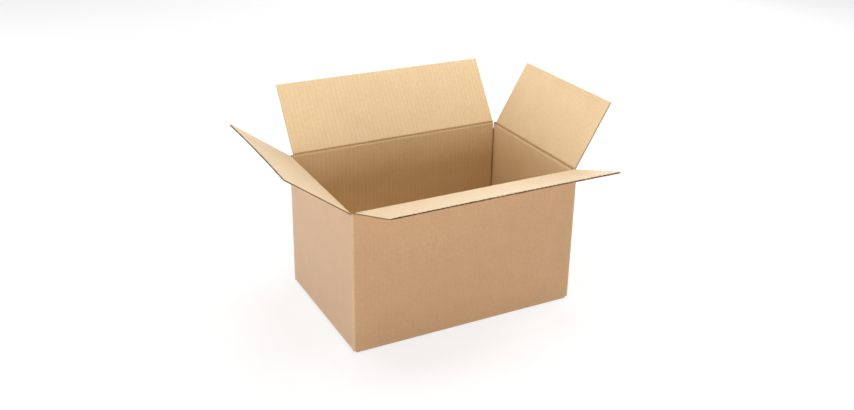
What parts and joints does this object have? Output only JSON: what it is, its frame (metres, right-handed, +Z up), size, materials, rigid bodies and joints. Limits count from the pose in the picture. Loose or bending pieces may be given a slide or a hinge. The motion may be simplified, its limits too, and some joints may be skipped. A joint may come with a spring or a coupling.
{
  "type": "open cardboard box",
  "caption": "Slotted carton of single-wall corrugated board, glued shut underneath, with its long and short top flaps folded open.",
  "frame": {"origin": "middle of the carton's footprint, on the underside that it stands on", "axes": "+Z up, +X along the long walls to the right, and the front wall, under the lowest of the flaps, faces -Y"},
  "size_m": [0.4914, 0.3916, 0.3009],
  "materials": {
    "corrugated_board": "matte",
    "fluted_paper": "matte"
  },
  "bodies": {
    "carton": {"carton": "corrugated_board"},
    "front_flap": {"top_flap_front": "fluted_paper"},
    "back_flap": {"top_flap_back": "fluted_paper"},
    "left_flap": {"top_flap_left": "fluted_paper"},
    "right_flap": {"top_flap_right": "fluted_paper"}
  },
  "joints": [
    {"name": "front_flap_fold", "type": "hinge", "parent": "carton", "child": "front_flap", "pos_m": [0, -0.1126, 0.2079], "axis": [1, 0, 0], "range_deg": [-161, 79]},
    {"name": "back_flap_fold", "type": "hinge", "parent": "carton", "child": "back_flap", "pos_m": [0, 0.1126, 0.2079], "axis": [-1, 0, 0], "range_deg": [-124.9, 115.1]},
    {"name": "left_flap_fold", "type": "hinge", "parent": "carton", "child": "left_flap", "pos_m": [-0.1744, 0, 0.2055], "axis": [0, -1, 0], "range_deg": [-143.9, 96.1]},
    {"name": "right_flap_fold", "type": "hinge", "parent": "carton", "child": "right_flap", "pos_m": [0.1744, 0, 0.2055], "axis": [0, 1, 0], "range_deg": [-119.8, 120.2]}
  ]
}
